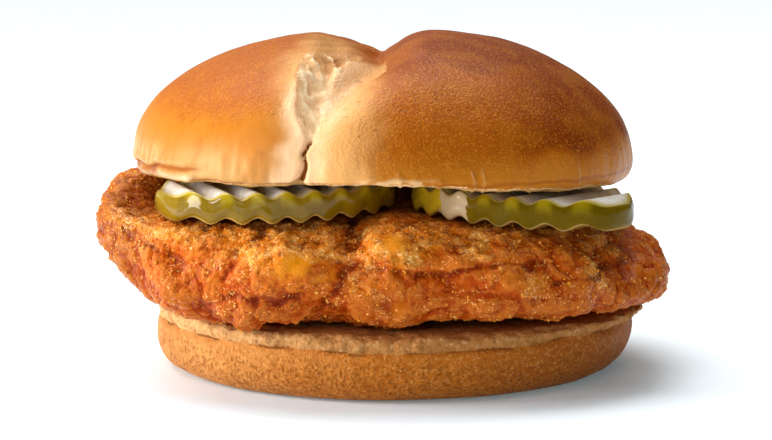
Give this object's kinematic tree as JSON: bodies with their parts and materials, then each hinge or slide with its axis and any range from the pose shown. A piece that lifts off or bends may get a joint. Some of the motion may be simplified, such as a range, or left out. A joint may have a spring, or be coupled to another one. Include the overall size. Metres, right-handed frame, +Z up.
{
  "type": "chicken burger",
  "caption": "Crispy fried chicken fillet between a heel bun and a split, glazed crown bun, with crinkle-cut pickle slices laid on the fillet",
  "frame": {"origin": "middle of the bounding box in plan, on the flat base that stands on the table", "axes": "+Z up, -Y the front that the picture shows, +X to the right in the picture"},
  "size_m": [0.1214, 0.107, 0.0705],
  "materials": {
    "heel_crust": "dry, matte bread crust",
    "fried_batter": "wet, glossy fried batter",
    "pickle_skin": "wet pickle skin",
    "crown_crust": "egg-washed bread crust"
  },
  "bodies": {
    "root": {"heel_bun": "heel_crust", "chicken_fillet": "fried_batter", "pickle_left": "pickle_skin", "pickle_right": "pickle_skin", "crown_bun": "crown_crust"}
  },
  "joints": []
}
